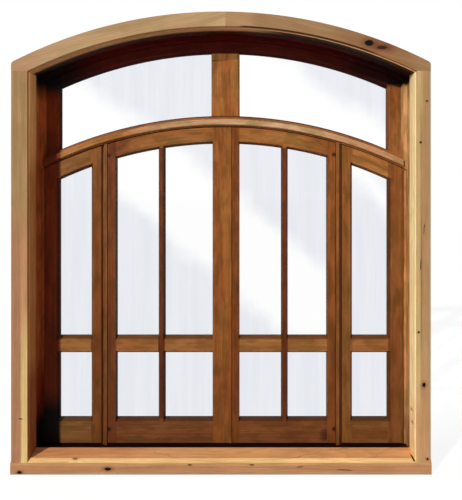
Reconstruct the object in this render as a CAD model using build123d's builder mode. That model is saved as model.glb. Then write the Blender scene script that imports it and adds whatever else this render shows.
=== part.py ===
"""Arched wooden window: a pine casing around a stained frame that holds a fanlight, two side
lights and a pair of casement leaves. Millimetres. The front faces -Y, up is +Z, and the origin
is on the floor under the middle of the window."""

import os
from math import sqrt

from build123d import *

os.makedirs("parts", exist_ok=True)

# Overall size
width = 1505.0
depth = 190.0
height = 1654.0
front = -depth / 2
tool_lead = 1.0

# Casing
head_radius = 1640.0
casing_depth = 80.0
casing_head_face = 52.0
casing_jamb_face = 54.5
sill_overhang = 3.0
sill_bevel = 12.0
sill_front_height = 42.0
sill_back_height = 65.0
crown_joint_x = 16.0
corner_radius = 15.0
arris = 1.5
opening_centre = 4.0

# Liner boards, in a rebate of the casing
liner_proud = 5.0
liner_thickness = 18.0
liner_setback = 8.0

# Stained frame
frame_thickness = 38.0
frame_sill_height = 57.0
frame_stop = 13.0
upper_stop_front = 123.0
upper_stop_back = 163.0
lower_stop_front = 137.0
back_flange_front = 167.0
sill_step = 23.0
flange_overlap = 20.0

# Transom
transom_radius = 1580.0
transom_drop = 363.0
transom_height = 35.0
transom_seat = 20.0
transom_flange = 18.0
bead_height = 22.0
bead_drop = 8.0
bead_proud = 14.0
bead_round = 4.5
clearance = 2.0

# Mullion posts
post_width = 20.0
post_bead = 12.0
post_bead_front = 122.0
post_web_front = 131.0
post_flange = 16.0

# Lower sashes
sash_front = 125.0
sash_thickness = 40.0
sash_bottom = 64.0
sash_gap = 3.0
glass_depth = 20.0
glass_thickness = 4.0
glass_bite = 8.0
rebate = 10.0
moulding_depth = 14.0
moulding_low = 15.0
moulding_high = 8.0
moulding_outer = 14.0
moulding_inner = 8.0
moulding_slim = 3.0
moulding_bar = 6.0
bead_depth = 12.0
top_rail_height = 60.0
bottom_rail_top = 155.0
cross_bar_low = 402.0
cross_bar_high = 466.0
side_outer_stile = 55.0
side_inner_stile = 40.0
side_glass_left = 120.0
side_glass_right = 134.0
hanging_stile_width = 32.0
muntin_width = 25.0
muntin_left_share = 0.471
muntin_right_share = 0.516
pin_diameter = 5.0
pin_depth = 8.0
pin_inset = 5.0
pin_low = 116.0
pin_rise = 17.0

# Meeting stiles
meeting_left = -42.0
meeting_body = 2.0
meeting_lip = 30.0
meeting_right = 60.0
lip_thickness = 18.0
lip_bead = 10.0
lip_bead_proud = 3.0

# Fanlight
fan_front = 163.0
fan_thickness = 25.0
fan_clearance = 2.0
fan_stile = 65.0
fan_glass_drop = 58.0
fan_rail = 30.0
fan_mullion_left = -48.0
fan_mullion_right = 60.0
fan_moulding = 14.0
fan_moulding_slim = 4.0
fan_moulding_depth = 8.0
fan_glass_depth = 12.0
fan_bead_depth = 7.0
fan_bead_bevel = 4.0

# Levels and radii that follow
jamb_outer = width / 2 - sill_overhang
casing_inner = jamb_outer - casing_jamb_face
opening_half = casing_inner - liner_proud
rebate_half = casing_inner + liner_thickness - liner_proud
head_centre = height - head_radius
casing_inner_radius = head_radius - casing_head_face
liner_radius = casing_inner_radius - liner_proud
liner_outer_radius = liner_radius + liner_thickness
casing_joint = head_centre + sqrt(casing_inner_radius**2 - casing_inner**2)
frame_joint = head_centre + sqrt(liner_radius**2 - opening_half**2)
frame_outer = opening_half + frame_thickness
stop_half = opening_half - frame_stop
stop_radius = liner_radius - frame_stop
transom_centre = height - transom_drop - transom_radius
transom_low = transom_radius - transom_height
transom_flange_radius = transom_low - transom_flange
sash_radius = transom_low - sash_gap
sash_glass_radius = sash_radius - top_rail_height
sash_back = sash_front + sash_thickness
sash_outer = stop_half - clearance
side_glass_outer = sash_outer - side_outer_stile
side_glass_width = {-1: side_glass_left, 1: side_glass_right}
post_outer = {
    side: side_glass_outer - glass - side_inner_stile - clearance
    for side, glass in side_glass_width.items()
}
fan_outer = opening_half - fan_clearance
fan_glass_half = fan_outer - fan_stile
fan_radius = liner_radius - fan_clearance
fan_glass_radius = liner_radius - fan_glass_drop
fan_low_radius = transom_radius - transom_seat
fan_glass_low = fan_low_radius + fan_rail
fan_back = fan_front + fan_thickness


def at_depth(d, centre=opening_centre):
    """Plane that faces the front, d behind the face of the casing, drawn in X and Z from the
    middle of the opening."""
    return Plane((centre, front + d, 0), x_dir=(1, 0, 0), z_dir=(0, -1, 0))


def outline(x0, x1, z0, z1, under=None, over=None):
    """Sketch the rectangle x0..x1, z0..z1 inside the circle under and outside the circle over,
    each given as (centre z, radius)."""
    with Locations(((x0 + x1) / 2, (z0 + z1) / 2)):
        Rectangle(x1 - x0, z1 - z0)
    if under:
        with Locations((0, under[0])):
            Circle(under[1], mode=Mode.INTERSECT)
    if over:
        with Locations((0, over[0])):
            Circle(over[1], mode=Mode.SUBTRACT)


def slab(d0, d1, x0, x1, z0, z1, under=None, over=None, mode=Mode.ADD):
    """Extrude an outline from depth d0 to depth d1. The x limits may come in either order."""
    with BuildSketch(at_depth(d0)) as face:
        outline(min(x0, x1), max(x0, x1), z0, z1, under, over)
    extrude(face.sketch, amount=-(d1 - d0), mode=mode)


def slab_part(*args, **kwargs):
    """One slab as a piece of its own."""
    with BuildPart() as piece:
        slab(*args, **kwargs)
    return piece.part


def save(name, part):
    """Label a piece and write its file."""
    part.label = name
    export_step(part, f"parts/{name}.step")


def shift_arc(arc, by):
    """The same circle, larger by the amount given."""
    return (arc[0], arc[1] + by) if arc else None


class Light:
    """One glazed opening: its sight lines, and how wide the moulding is on each side."""

    def __init__(self, x0, x1, z0, z1, mould, under=None, over=None):
        self.x0, self.x1, self.z0, self.z1 = x0, x1, z0, z1
        self.mould = mould
        self.under, self.over = under, over

    def grown(self, left, right, low, high):
        """Outline arguments of the opening, moved out by the four amounts."""
        return (
            self.x0 - left,
            self.x1 + right,
            self.z0 - low,
            self.z1 + high,
            shift_arc(self.under, high),
            shift_arc(self.over, -low),
        )

    def cutter(self, face, mould_depth, end):
        """Solid that cuts the opening and its moulding, from the face at a depth to the end."""
        toward = 1 if end > face else -1
        with BuildPart() as tool:
            with BuildSketch(at_depth(face - toward * tool_lead)):
                outline(*self.grown(0, 0, 0, 0))
            extrude(amount=-(end - face + toward * tool_lead))
            with BuildSketch(at_depth(face)):
                outline(*self.grown(*self.mould))
            with BuildSketch(at_depth(face + toward * mould_depth)):
                outline(*self.grown(0, 0, 0, 0))
            loft(ruled=True)
        return tool.part


# Pine casing
with BuildPart() as sill_block:
    with BuildSketch(Plane.YZ):
        with BuildLine():
            Polyline(
                (front, 0),
                (front, sill_front_height),
                (front + sill_bevel, sill_front_height + sill_bevel),
                (front + casing_depth, sill_back_height),
                (front + casing_depth, 0),
                close=True,
            )
        make_face()
    extrude(amount=width / 2, both=True)

with BuildPart() as casing_sill:
    add(sill_block)
    fillet(casing_sill.edges().filter_by(Axis.X).group_by(Axis.Y)[0], arris)
save("casing_sill", casing_sill.part)


def standing_board(x0, x1, d0, d1, top):
    """Board between two places in x and two depths, from the floor to its top."""
    with BuildSketch(Plane.YZ.offset(x0)) as profile:
        with Locations((front + (d0 + d1) / 2, top / 2)):
            Rectangle(d1 - d0, top)
    extrude(profile.sketch, amount=x1 - x0)


def casing_jamb(side):
    """Casing jamb with a rebate for the liner."""
    inner = opening_centre + side * casing_inner
    with BuildPart() as piece:
        standing_board(inner, side * jamb_outer, 0, casing_depth, casing_joint)
        fillet(piece.edges().filter_by(Axis.Z).group_by(Axis.Y)[0], arris)
        add(sill_block, mode=Mode.SUBTRACT)
        slab(
            liner_setback,
            casing_depth,
            side * casing_inner,
            side * rebate_half,
            0,
            casing_joint,
            mode=Mode.SUBTRACT,
        )
    return piece.part


def casing_head(side):
    """Half of the curved casing head, from the crown joint to the corner over the jamb."""
    with BuildPart() as piece:
        with BuildSketch(at_depth(0, 0)) as face:
            outline(
                min(crown_joint_x, side * jamb_outer),
                max(crown_joint_x, side * jamb_outer),
                casing_joint,
                height + tool_lead,
                (head_centre, head_radius),
            )
            corner = face.vertices().group_by(Axis.X)[-1 if side > 0 else 0].sort_by(Axis.Y)
            fillet(corner[-1], corner_radius)
        extrude(amount=-casing_depth)
        slab(
            0,
            casing_depth,
            -casing_inner,
            casing_inner,
            0,
            height,
            (head_centre, casing_inner_radius),
            mode=Mode.SUBTRACT,
        )
        slab(
            liner_setback,
            casing_depth,
            -rebate_half,
            rebate_half,
            0,
            height,
            (head_centre, liner_outer_radius),
            mode=Mode.SUBTRACT,
        )
    return piece.part


def liner_jamb(side):
    """Liner board at one side."""
    inner = opening_centre + side * opening_half
    outer = opening_centre + side * rebate_half
    with BuildPart() as piece:
        standing_board(inner, outer, liner_setback, casing_depth, frame_joint)
        add(sill_block, mode=Mode.SUBTRACT)
    return piece.part


for side, name in ((-1, "left"), (1, "right")):
    save(f"casing_jamb_{name}", casing_jamb(side))
    save(f"casing_head_{name}", casing_head(side))
    save(f"liner_{name}", liner_jamb(side))

save(
    "liner_head",
    slab_part(
        liner_setback,
        casing_depth,
        -rebate_half,
        rebate_half,
        frame_joint,
        height,
        (head_centre, liner_outer_radius),
        (head_centre, liner_radius),
    ),
)

# Stained frame
with BuildPart() as frame_sill:
    slab(casing_depth, depth, -frame_outer, frame_outer, 0, frame_sill_height)
    slab(
        back_flange_front,
        depth,
        -opening_half,
        opening_half,
        frame_sill_height,
        frame_sill_height + sill_step,
    )
save("frame_sill", frame_sill.part)


def frame_jamb(side):
    """Frame jamb with the stops of the fanlight and of the side light."""
    body = side * opening_half
    stop = side * stop_half
    flange = side * (sash_outer - flange_overlap)
    with BuildPart() as piece:
        slab(casing_depth, depth, body, side * frame_outer, frame_sill_height, frame_joint)
        slab(
            upper_stop_front,
            upper_stop_back,
            stop,
            body,
            frame_sill_height,
            frame_joint,
            (head_centre, stop_radius),
            (transom_centre, transom_low),
        )
        slab(
            lower_stop_front,
            back_flange_front,
            stop,
            body,
            frame_sill_height,
            frame_joint,
            (transom_centre, transom_low),
        )
        slab(
            back_flange_front,
            depth,
            flange,
            body,
            frame_sill_height + sill_step,
            frame_joint,
            (transom_centre, transom_flange_radius),
        )
    return piece.part


with BuildPart() as frame_head:
    slab(
        casing_depth,
        depth,
        -frame_outer,
        frame_outer,
        frame_joint,
        height,
        (head_centre, liner_radius + frame_thickness),
        (head_centre, liner_radius),
    )
    slab(
        upper_stop_front,
        upper_stop_back,
        -opening_half,
        opening_half,
        frame_sill_height,
        height,
        (head_centre, liner_radius),
        (head_centre, stop_radius),
    )
save("frame_head", frame_head.part)

# Transom, with a seat for the fanlight on top and a stop for the sashes below
with BuildPart() as transom:
    slab(
        upper_stop_front,
        upper_stop_back,
        -stop_half,
        stop_half,
        frame_sill_height,
        height,
        (transom_centre, transom_radius),
        (transom_centre, transom_low),
    )
    slab(
        upper_stop_back,
        back_flange_front,
        -stop_half,
        stop_half,
        frame_sill_height,
        height,
        (transom_centre, fan_low_radius),
        (transom_centre, transom_low),
    )
    slab(
        back_flange_front,
        depth,
        -opening_half,
        opening_half,
        frame_sill_height,
        height,
        (transom_centre, fan_low_radius),
        (transom_centre, transom_flange_radius),
    )
save("transom", transom.part)

with BuildPart() as transom_bead:
    bead_radius = transom_radius - bead_drop
    slab(
        upper_stop_front - bead_proud,
        upper_stop_front,
        -stop_half,
        stop_half,
        frame_sill_height,
        height,
        (transom_centre, bead_radius),
        (transom_centre, bead_radius - bead_height),
    )
    fillet(transom_bead.faces().sort_by(Axis.Y)[0].edges(), bead_round)
save("transom_bead", transom_bead.part)


def mullion_post(side):
    """Post between a side light and a casement: a bead in front, a stop behind."""
    ends = (frame_sill_height, height, (transom_centre, transom_low))
    outer = post_outer[side]
    inner = outer - post_width
    with BuildPart() as piece:
        slab(post_bead_front, post_web_front, side * inner, side * (inner + post_bead), *ends)
        slab(post_web_front, back_flange_front, side * inner, side * outer, *ends)
        slab(
            back_flange_front,
            depth,
            side * (inner - post_flange),
            side * (outer + post_flange),
            frame_sill_height + sill_step,
            height,
            (transom_centre, transom_flange_radius),
        )
    return piece.part


# Fanlight
fan_under = (head_centre, fan_glass_radius)
fan_over = (transom_centre, fan_glass_low)
left_mould = (fan_moulding, fan_moulding_slim, fan_moulding, fan_moulding)
right_mould = (fan_moulding_slim, fan_moulding, fan_moulding, fan_moulding)
fan_lights = {
    "left": Light(-fan_glass_half, fan_mullion_left, 0, height, left_mould, fan_under, fan_over),
    "right": Light(fan_mullion_right, fan_glass_half, 0, height, right_mould, fan_under, fan_over),
}


def fan_member(x0, x1, under, over):
    """Fanlight member: an outline with both openings and the rebates for the glass taken out."""
    with BuildPart() as piece:
        slab(fan_front, fan_back, x0, x1, 0, height, under, over)
        for light in fan_lights.values():
            add(
                light.cutter(fan_front, fan_moulding_depth, fan_front + fan_glass_depth),
                mode=Mode.SUBTRACT,
            )
            with BuildSketch(at_depth(fan_front + fan_glass_depth)):
                outline(*light.grown(rebate, rebate, rebate, rebate))
            extrude(amount=-fan_thickness, mode=Mode.SUBTRACT)
    return piece.part


fan_top = (head_centre, fan_radius)
fan_bottom = (transom_centre, fan_low_radius)
save("fanlight_stile_left", fan_member(-fan_outer, -fan_glass_half, fan_top, fan_bottom))
save("fanlight_stile_right", fan_member(fan_glass_half, fan_outer, fan_top, fan_bottom))
save("fanlight_top_rail", fan_member(-fan_glass_half, fan_glass_half, fan_top, fan_under))
save("fanlight_bottom_rail", fan_member(-fan_glass_half, fan_glass_half, fan_over, fan_bottom))
save("fanlight_mullion", fan_member(fan_mullion_left, fan_mullion_right, fan_under, fan_over))


def pane(light, front_depth):
    """Sheet of glass that reaches into the rebate on every side."""
    with BuildPart() as piece:
        with BuildSketch(at_depth(front_depth)):
            outline(*light.grown(glass_bite, glass_bite, glass_bite, glass_bite))
        extrude(amount=-glass_thickness)
    return piece.part


def back_bars(whole, lights, front_depth, thickness):
    """Glazing beads behind the glass, with a bar wherever the front has one."""
    with BuildPart() as piece:
        with BuildSketch(at_depth(front_depth)):
            outline(*whole.grown(rebate, rebate, rebate, rebate))
        extrude(amount=-thickness)
        for light in lights:
            cutter = light.cutter(front_depth + thickness, thickness / 2, front_depth)
            add(cutter, mode=Mode.SUBTRACT)
    return piece.part


fan_glass_front = fan_front + fan_glass_depth
for name, light in fan_lights.items():
    save(f"fanlight_glass_{name}", pane(light, fan_glass_front))
    bevels = (fan_bead_bevel, fan_bead_bevel, fan_bead_bevel, fan_bead_bevel)
    frame = Light(light.x0, light.x1, light.z0, light.z1, bevels, fan_under, fan_over)
    beads = back_bars(frame, [frame], fan_glass_front + glass_thickness, fan_bead_depth)
    save(f"fanlight_beads_{name}", beads)


# Lower sashes
sash_under = (transom_centre, sash_glass_radius)
sash_top = (transom_centre, sash_radius)
glass_front = sash_front + glass_depth


def sash_member(lights, whole, x0, x1, z0, z1, under=None, over=None, back=None):
    """Sash member: an outline with the openings and the rebate for the glass taken out."""
    with BuildPart() as piece:
        slab(sash_front, back or sash_back, x0, x1, z0, z1, under, over)
        for light in lights:
            cutter = light.cutter(sash_front, moulding_depth, glass_front)
            add(cutter, mode=Mode.SUBTRACT)
        with BuildSketch(at_depth(glass_front)):
            outline(*whole.grown(rebate, rebate, rebate, rebate))
        extrude(amount=-sash_thickness, mode=Mode.SUBTRACT)
    return piece.part


def lights_between(edges, left_mould, right_mould):
    """The openings above and below the cross bar, for pairs of sight lines in x."""
    found = []
    for number, (x0, x1) in enumerate(edges):
        left = left_mould if number == 0 else moulding_bar
        right = right_mould if number == len(edges) - 1 else moulding_bar
        mould = (left, right, moulding_low, moulding_high)
        found.append(Light(x0, x1, bottom_rail_top, cross_bar_low, mould))
        found.append(Light(x0, x1, cross_bar_high, height, mould, sash_under))
    return found


def side_light(side, name):
    """The members, glass and beads of one side light."""
    outer = side * side_glass_outer
    inner = side * (side_glass_outer - side_glass_width[side])
    edge = side * (post_outer[side] + clearance)
    x0, x1 = sorted((inner, outer))
    moulds = (moulding_inner, moulding_outer) if side > 0 else (moulding_outer, moulding_inner)
    lights = lights_between([(x0, x1)], *moulds)
    whole = Light(x0, x1, bottom_rail_top, height, lights[0].mould, sash_under)
    members = {
        "outer_stile": (outer, side * sash_outer, sash_bottom, height, sash_top),
        "inner_stile": (edge, inner, sash_bottom, height, sash_top),
        "top_rail": (x0, x1, sash_bottom, height, sash_top, sash_under),
        "cross_bar": (x0, x1, cross_bar_low, cross_bar_high),
        "bottom_rail": (x0, x1, sash_bottom, bottom_rail_top),
    }
    for member, size in members.items():
        save(f"side_{name}_{member}", sash_member(lights, whole, *size))
    save(f"side_{name}_glass", pane(whole, glass_front))
    beads = back_bars(whole, lights, glass_front + glass_thickness, bead_depth)
    save(f"side_{name}_beads", beads)


def casement(side, name, muntin_share, meeting_edge, meeting_outline):
    """The members, glass and back bars of one casement leaf."""
    leaf_outer = post_outer[side] - post_width - clearance
    outer = side * (leaf_outer - hanging_stile_width)
    x0, x1 = sorted((outer, meeting_edge))
    muntin_x = x0 + muntin_share * (x1 - x0)
    bar = (muntin_x - muntin_width / 2, muntin_x + muntin_width / 2)
    edges = [(x0, bar[0]), (bar[1], x1)]
    lights = lights_between(edges, moulding_slim, moulding_slim)
    whole = Light(x0, x1, bottom_rail_top, height, lights[0].mould, sash_under)
    hanging = side * leaf_outer
    pin_x = leaf_outer - pin_inset
    pin_high = transom_centre + sqrt(sash_glass_radius**2 - pin_x**2) + pin_rise
    middle = glass_depth / 2

    stile = sash_member(lights, whole, outer, hanging, sash_bottom, height, sash_top)
    with BuildPart() as hanging_stile:
        add(stile)
        for level in (pin_low, pin_high):
            with BuildSketch(at_depth(sash_front)):
                with Locations((side * pin_x, level)):
                    Circle(pin_diameter / 2)
            extrude(amount=-pin_depth, mode=Mode.SUBTRACT)
    save(f"casement_{name}_hanging_stile", hanging_stile.part)

    ends = (sash_bottom, height, sash_top)
    mode = Mode.ADD if side < 0 else Mode.SUBTRACT
    with BuildPart() as meeting_stile:
        add(sash_member(lights, whole, meeting_edge, meeting_outline[0], *ends))
        for d0, d1, xa, xb in meeting_outline[1]:
            slab(d0, d1, xa, xb, *ends, mode=mode)
    save(f"casement_{name}_meeting_stile", meeting_stile.part)

    top = sash_member(lights, whole, x0, x1, sash_bottom, height, sash_top, sash_under)
    save(f"casement_{name}_top_rail", top)
    bottom = sash_member(lights, whole, x0, x1, sash_bottom, bottom_rail_top)
    save(f"casement_{name}_bottom_rail", bottom)

    muntin = sash_member(lights, whole, *bar, bottom_rail_top, height, sash_under, back=glass_front)
    with BuildPart() as halved_muntin:
        add(muntin)
        slab(
            sash_front + middle,
            glass_front,
            *bar,
            cross_bar_low,
            cross_bar_high,
            mode=Mode.SUBTRACT,
        )
    save(f"casement_{name}_muntin", halved_muntin.part)

    cross = sash_member(lights, whole, x0, x1, cross_bar_low, cross_bar_high, back=glass_front)
    with BuildPart() as halved_bar:
        add(cross)
        slab(
            sash_front,
            sash_front + middle,
            *bar,
            cross_bar_low,
            cross_bar_high,
            mode=Mode.SUBTRACT,
        )
    save(f"casement_{name}_cross_bar", halved_bar.part)

    save(f"casement_{name}_glass", pane(whole, glass_front))
    beads = back_bars(whole, lights, glass_front + glass_thickness, bead_depth)
    save(f"casement_{name}_back_bars", beads)


for side, name in ((-1, "left"), (1, "right")):
    save(f"frame_jamb_{name}", frame_jamb(side))
    save(f"mullion_post_{name}", mullion_post(side))
    side_light(side, name)

lip_back = sash_front + lip_thickness
left_meeting = (
    meeting_body,
    [
        (sash_front, lip_back, meeting_body, meeting_lip),
        (sash_front - lip_bead_proud, sash_front, meeting_lip - lip_bead, meeting_lip),
    ],
)
right_meeting = (
    meeting_body + clearance,
    [(sash_front - tool_lead, lip_back + clearance, meeting_body, meeting_lip + clearance)],
)
casement(-1, "left", muntin_left_share, meeting_left, left_meeting)
casement(1, "right", muntin_right_share, meeting_right, right_meeting)
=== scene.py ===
"""Dresses the arched wooden window: raw pine casing, stained frame and sashes, glass and pins.

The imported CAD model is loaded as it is. Each member is its own board, with grain that runs along
it; the panes get glass and a dark glazing seal, and a floor, a lamp and a camera complete the
scene. Lengths are in metres, the front faces -Y and up is +Z.
"""

import logging
import math
from dataclasses import dataclass, field, replace
from enum import Enum

import bmesh
import bpy
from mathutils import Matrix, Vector


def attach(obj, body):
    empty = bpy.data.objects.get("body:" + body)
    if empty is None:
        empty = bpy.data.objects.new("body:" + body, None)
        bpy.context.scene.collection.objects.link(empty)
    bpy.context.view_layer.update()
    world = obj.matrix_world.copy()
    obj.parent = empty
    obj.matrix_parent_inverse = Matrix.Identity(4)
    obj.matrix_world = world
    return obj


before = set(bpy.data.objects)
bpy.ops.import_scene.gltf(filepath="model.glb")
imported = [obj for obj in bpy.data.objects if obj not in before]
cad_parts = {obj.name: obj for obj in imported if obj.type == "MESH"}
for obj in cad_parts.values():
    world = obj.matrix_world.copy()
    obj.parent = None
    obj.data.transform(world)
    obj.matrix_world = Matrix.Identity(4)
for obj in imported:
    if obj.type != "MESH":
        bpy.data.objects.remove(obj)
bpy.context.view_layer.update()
NODES: dict[str, bpy.types.Object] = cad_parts

log = logging.getLogger("window")

BODY = "root"
MM = 0.001
FRONT = -95 * MM
OPENING_CENTRE = 4 * MM
SASH_DEPTH = 125 * MM
FAN_DEPTH = 163 * MM
FAR = 9.0
MERGE_GAP = 1e-6

Colour = tuple[float, float, float]
Limits = tuple[float, float, float]
Stretch = tuple[float, float, float]
Pair = tuple[float, float]
Socket = bpy.types.NodeSocket
Outputs = bpy.types.bpy_prop_collection
Source = Socket | float | Colour | Vector


def srgb(red: int, green: int, blue: int) -> Colour:
    """Turn a colour as a painter reads it into linear values.

    Args:
        red: its red part, 0 to 255.
        green: its green part.
        blue: its blue part.

    Returns:
        The linear colour.
    """

    def linear(part: int) -> float:
        """One part of the colour in linear light."""
        share = part / 255
        return share / 12.92 if share <= 0.04045 else ((share + 0.055) / 1.055) ** 2.4

    return (linear(red), linear(green), linear(blue))


def tinted(colour: Colour, tint: Colour) -> Colour:
    """Multiply two colours part by part."""
    return (colour[0] * tint[0], colour[1] * tint[1], colour[2] * tint[2])


def beyond(low: float, soft: float) -> Limits:
    """Limits of everything past a place, with a soft edge."""
    return (low, FAR, soft)


def up_to(high: float, soft: float) -> Limits:
    """Limits of everything short of a place, with a soft edge."""
    return (-FAR, high, soft)


# Painted shade: a near-black colour laid on corners and ends that lie in deep shadow.
DEEP_SHADE = srgb(9, 4, 3)
# Painted shadow: a dark colour laid where the head casts its shadow on the right-hand members.
HEAD_SHADOW = srgb(30, 10, 6)
PLAIN_STAIN = srgb(140, 88, 48)
BAR_STAIN = srgb(84, 46, 26)


@dataclass(frozen=True)
class View:
    """The camera of the picture, and where a pixel of the picture lies on the window."""

    picture_width: int = 462
    picture_height: int = 500
    place: tuple[float, float, float] = (0.1039, -2.345, 1.0167)
    lens: float = 45.38
    sensor: float = 36.0
    shift_x: float = -0.038
    shift_y: float = -0.12

    def span(self, depth: float = 0.0) -> float:
        """Metres to a pixel, at a depth behind the face of the casing."""
        away = FRONT - self.place[1] + depth
        return self.sensor / self.lens / self.picture_height * away

    def column(self, column: float, depth: float = 0.0) -> float:
        """Place in X of a pixel column."""
        middle = self.picture_width / 2 - self.shift_x * self.picture_height
        return self.place[0] + (column - middle) * self.span(depth)

    def row(self, row: float, depth: float = 0.0) -> float:
        """Place in Z of a pixel row."""
        middle = self.picture_height / 2 + self.shift_y * self.picture_height
        return self.place[2] + (middle - row) * self.span(depth)

    def spot(self, column: float, row: float, depth: float = 0.0) -> Pair:
        """Place in X and Z of a pixel."""
        return (self.column(column, depth), self.row(row, depth))


VIEW = View()


class Graph:
    """Adds nodes to one shader tree and wires them, so that an effect reads from top to bottom."""

    def __init__(self, tree: bpy.types.NodeTree) -> None:
        """Keep the tree that the nodes go into."""
        self.tree = tree

    def node(self, kind: str, inputs: dict[str | int, Source] | None = None, **settings) -> bpy.types.Node:
        """Add a node.

        Args:
            kind: Blender's name of the node type.
            inputs: a socket, number, colour or vector for each named or numbered input.
            **settings: attributes of the node, set before its inputs.

        Returns:
            The new node.
        """
        made = self.tree.nodes.new(kind)
        made.location = (180 * (len(self.tree.nodes) % 12), -220 * (len(self.tree.nodes) // 12))
        for name, value in settings.items():
            setattr(made, name, value)
        for name, value in (inputs or {}).items():
            self.feed(made.inputs[name], value)
        return made

    def feed(self, target: Socket, value: Source) -> None:
        """Link a socket to an input, or set the input to a plain value.

        Args:
            target: the input.
            value: the socket, number, colour or vector that it gets.
        """
        if isinstance(value, bpy.types.NodeSocket):
            self.tree.links.new(value, target)
        elif target.type == "RGBA":
            target.default_value = (*value[:3], 1.0)
        else:
            target.default_value = value

    def math(self, operation: str, first: Source, second: Source = 0.0) -> Socket:
        """One Math node, and its result."""
        return self.node("ShaderNodeMath", {0: first, 1: second}, operation=operation).outputs[0]

    def plus(self, first: Source, second: Source) -> Socket:
        """The sum of two values."""
        return self.math("ADD", first, second)

    def less(self, first: Source, second: Source) -> Socket:
        """The first value less the second."""
        return self.math("SUBTRACT", first, second)

    def times(self, first: Source, second: Source) -> Socket:
        """The product of two values."""
        return self.math("MULTIPLY", first, second)

    def fade(self, value: Source, low: Source, high: Source, start: float = 0.0, end: float = 1.0) -> Socket:
        """Smooth step of a value between two limits.

        Args:
            value: what is read.
            low: where the step begins.
            high: where it ends.
            start: the result below the step.
            end: the result above it.

        Returns:
            The result socket.
        """
        inputs = {"Value": value, "From Min": low, "From Max": high, "To Min": start, "To Max": end}
        return self.node("ShaderNodeMapRange", inputs, interpolation_type="SMOOTHSTEP").outputs[0]

    def mix(self, share: Source, first: Source, second: Source, blend: str = "MIX") -> Socket:
        """Blend two colours.

        Args:
            share: how much of the second colour is taken.
            first: the first colour.
            second: the second colour.
            blend: how the second colour is laid on.

        Returns:
            The colour socket.
        """
        made = self.node("ShaderNodeMix", data_type="RGBA", blend_type=blend, clamp_factor=True)
        self.feed(made.inputs[0], share)
        self.feed(made.inputs[6], first)
        self.feed(made.inputs[7], second)
        return made.outputs[2]

    def noise(self, vector: Source, scale: float, detail: float = 2.0, rough: float = 0.5) -> Socket:
        """Noise value at a point, about 0.5 on average."""
        inputs = {"Vector": vector, "Scale": scale, "Detail": detail, "Roughness": rough}
        return self.node("ShaderNodeTexNoise", inputs).outputs[0]

    def drawn_noise(
        self, vector: Source, stretch: Stretch, detail: float = 2.0, rough: float = 0.5
    ) -> Socket:
        """Noise that is drawn out, with its scale given for each of three directions."""
        return self.noise(self.vector("MULTIPLY", vector, stretch), 1.0, detail, rough)

    def swing(self, noise: Source, reach: float) -> Socket:
        """Turn noise into a value that swings about nought."""
        return self.times(self.less(noise, 0.5), reach)

    def split(self, vector: Source) -> tuple[Socket, Socket, Socket]:
        """The three parts of a vector."""
        made = self.node("ShaderNodeSeparateXYZ", {0: vector})
        return (made.outputs[0], made.outputs[1], made.outputs[2])

    def join(self, x: Source, y: Source, z: Source) -> Socket:
        """A vector from three parts."""
        return self.node("ShaderNodeCombineXYZ", {0: x, 1: y, 2: z}).outputs[0]

    def vector(self, operation: str, first: Source, second: Source = (0.0, 0.0, 0.0)) -> Socket:
        """One Vector Math node, and its result."""
        made = self.node("ShaderNodeVectorMath", {0: first, 1: second}, operation=operation)
        return made.outputs["Value" if operation in ("LENGTH", "DOT_PRODUCT") else "Vector"]

    def place(self) -> Socket:
        """Object coordinates, which are places on the window."""
        return self.node("ShaderNodeTexCoord").outputs["Object"]

    def surface(self, inputs: dict[str, Source]) -> None:
        """Finish a material with a Principled shader that has these inputs."""
        shader = self.node("ShaderNodeBsdfPrincipled", inputs)
        self.node("ShaderNodeOutputMaterial", {"Surface": shader.outputs[0]})


def cleared(owner: bpy.types.Material | bpy.types.World) -> Graph:
    """Switch on an owner's nodes and clear them.

    Args:
        owner: the material or the world.

    Returns:
        The empty graph.
    """
    owner.use_nodes = True
    owner.node_tree.nodes.clear()
    return Graph(owner.node_tree)


def show(thing: bpy.types.Object) -> None:
    """Put an object into the scene."""
    bpy.context.scene.collection.objects.link(thing)


@dataclass(frozen=True)
class Port:
    """One input or output of a shader node group."""

    name: str
    kind: str = "NodeSocketFloat"
    default: float | Colour | None = None


class Effect:
    """A shader node group that several finishes share, built once."""

    name = "effect"
    inputs: tuple[Port, ...] = ()
    outputs: tuple[Port, ...] = ()

    def __init__(self) -> None:
        """Make the group with its sockets and fill it."""
        self.tree = bpy.data.node_groups.new(self.name, "ShaderNodeTree")
        for ports, direction in ((self.inputs, "INPUT"), (self.outputs, "OUTPUT")):
            for port in ports:
                made = self.tree.interface.new_socket(port.name, in_out=direction, socket_type=port.kind)
                if port.default is not None:
                    made.default_value = port.default
        graph = Graph(self.tree)
        source = graph.node("NodeGroupInput")
        target = graph.node("NodeGroupOutput")
        results = self.build(graph, {port.name: source.outputs[port.name] for port in self.inputs})
        for name, value in results.items():
            graph.feed(target.inputs[name], value)

    def build(self, graph: Graph, given: dict[str, Socket]) -> dict[str, Socket]:
        """Fill the group.

        Args:
            graph: the group's own graph.
            given: its inputs by name.

        Returns:
            Its outputs by name.
        """
        raise NotImplementedError

    def place(self, graph: Graph, **values: Source) -> bpy.types.Node:
        """Put the group into a material.

        Args:
            graph: the material's graph.
            **values: the inputs, with underscores for spaces.

        Returns:
            The group's node.
        """
        made = graph.node("ShaderNodeGroup", node_tree=self.tree)
        for name, value in values.items():
            graph.feed(made.inputs[name.replace("_", " ")], value)
        return made


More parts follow.
